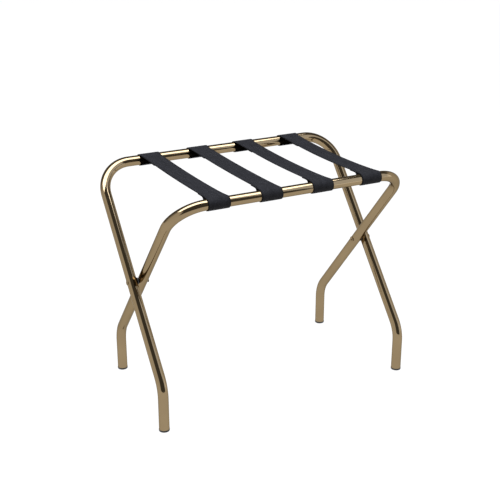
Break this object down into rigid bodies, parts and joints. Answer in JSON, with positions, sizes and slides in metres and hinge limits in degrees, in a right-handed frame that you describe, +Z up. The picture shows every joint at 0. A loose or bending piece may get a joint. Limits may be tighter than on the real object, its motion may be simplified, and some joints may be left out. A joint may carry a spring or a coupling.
{
  "type": "folding luggage rack",
  "caption": "Scissor-folding luggage rack: two bent brass-finish tube frames crossed at side pivots, with webbing straps looped over the top rails.",
  "frame": {"origin": "on the floor, midway between the four feet, rack open", "axes": "+X along the top rails, +Y from the inner frame's rail towards the outer frame's rail, +Z up"},
  "size_m": [0.61, 0.3754, 0.499],
  "materials": {
    "brass_tube": "polished brass plating on steel tube",
    "glide_plastic": "moulded black",
    "rivet_steel": "brass-plated tubular rivet and washer",
    "nylon_spacer": "black nylon",
    "webbing": "ribbed black webbing"
  },
  "bodies": {
    "outer_frame": {"outer_frame_tube": "brass_tube", "outer_foot_left": "glide_plastic", "outer_foot_right": "glide_plastic", "pivot_rivet_left": "rivet_steel", "pivot_rivet_right": "rivet_steel", "pivot_spacer_left": "nylon_spacer", "pivot_spacer_right": "nylon_spacer", "rivet_washer_left": "rivet_steel", "rivet_washer_right": "rivet_steel"},
    "inner_frame": {"inner_frame_tube": "brass_tube", "inner_foot_left": "glide_plastic", "inner_foot_right": "glide_plastic"},
    "straps_outer": {"strap_1_outer_half": "webbing", "strap_2_outer_half": "webbing", "strap_3_outer_half": "webbing", "strap_4_outer_half": "webbing"},
    "straps_outer_turn": {"strap_1_outer_turn": "webbing", "strap_2_outer_turn": "webbing", "strap_3_outer_turn": "webbing", "strap_4_outer_turn": "webbing"},
    "straps_inner": {"strap_1_inner_half": "webbing", "strap_2_inner_half": "webbing", "strap_3_inner_half": "webbing", "strap_4_inner_half": "webbing"},
    "straps_inner_turn": {"strap_1_inner_turn": "webbing", "strap_2_inner_turn": "webbing", "strap_3_inner_turn": "webbing", "strap_4_inner_turn": "webbing"}
  },
  "joints": [
    {"name": "fold", "type": "hinge", "parent": "outer_frame", "child": "inner_frame", "pos_m": [0, 0, 0.27751], "axis": [-1, 0, 0], "range_deg": [0, 74.23], "deforming": ["strap_1_outer_half", "strap_2_outer_half", "strap_3_outer_half", "strap_4_outer_half", "strap_1_inner_half", "strap_2_inner_half", "strap_3_inner_half", "strap_4_inner_half", "strap_1_outer_turn", "strap_2_outer_turn", "strap_3_outer_turn", "strap_4_outer_turn", "strap_1_inner_turn", "strap_2_inner_turn", "strap_3_inner_turn", "strap_4_inner_turn"]},
    {"name": "strap_drop_outer", "type": "hinge", "parent": "outer_frame", "child": "straps_outer", "pos_m": [0, 0.1747, 0.486], "axis": [1, 0, 0], "range_deg": [0, 52.89]},
    {"name": "strap_drop_inner", "type": "hinge", "parent": "inner_frame", "child": "straps_inner", "pos_m": [0, -0.1747, 0.486], "axis": [-1, 0, 0], "range_deg": [0, 52.89]},
    {"name": "strap_turn_outer", "type": "hinge", "parent": "straps_outer", "child": "straps_outer_turn", "pos_m": [0, 0.0063, 0.49321], "axis": [-1, 0, 0], "range_deg": [0, 90.02]},
    {"name": "strap_turn_inner", "type": "hinge", "parent": "straps_inner", "child": "straps_inner_turn", "pos_m": [0, -0.0063, 0.49321], "axis": [1, 0, 0], "range_deg": [0, 90.02]}
  ],
  "couplings": [
    {"joint": "strap_drop_outer", "follows": "fold", "ratio": 0.71242},
    {"joint": "strap_drop_inner", "follows": "fold", "ratio": 0.71242},
    {"joint": "strap_turn_outer", "follows": "fold", "ratio": 1.2124},
    {"joint": "strap_turn_inner", "follows": "fold", "ratio": 1.2124}
  ]
}
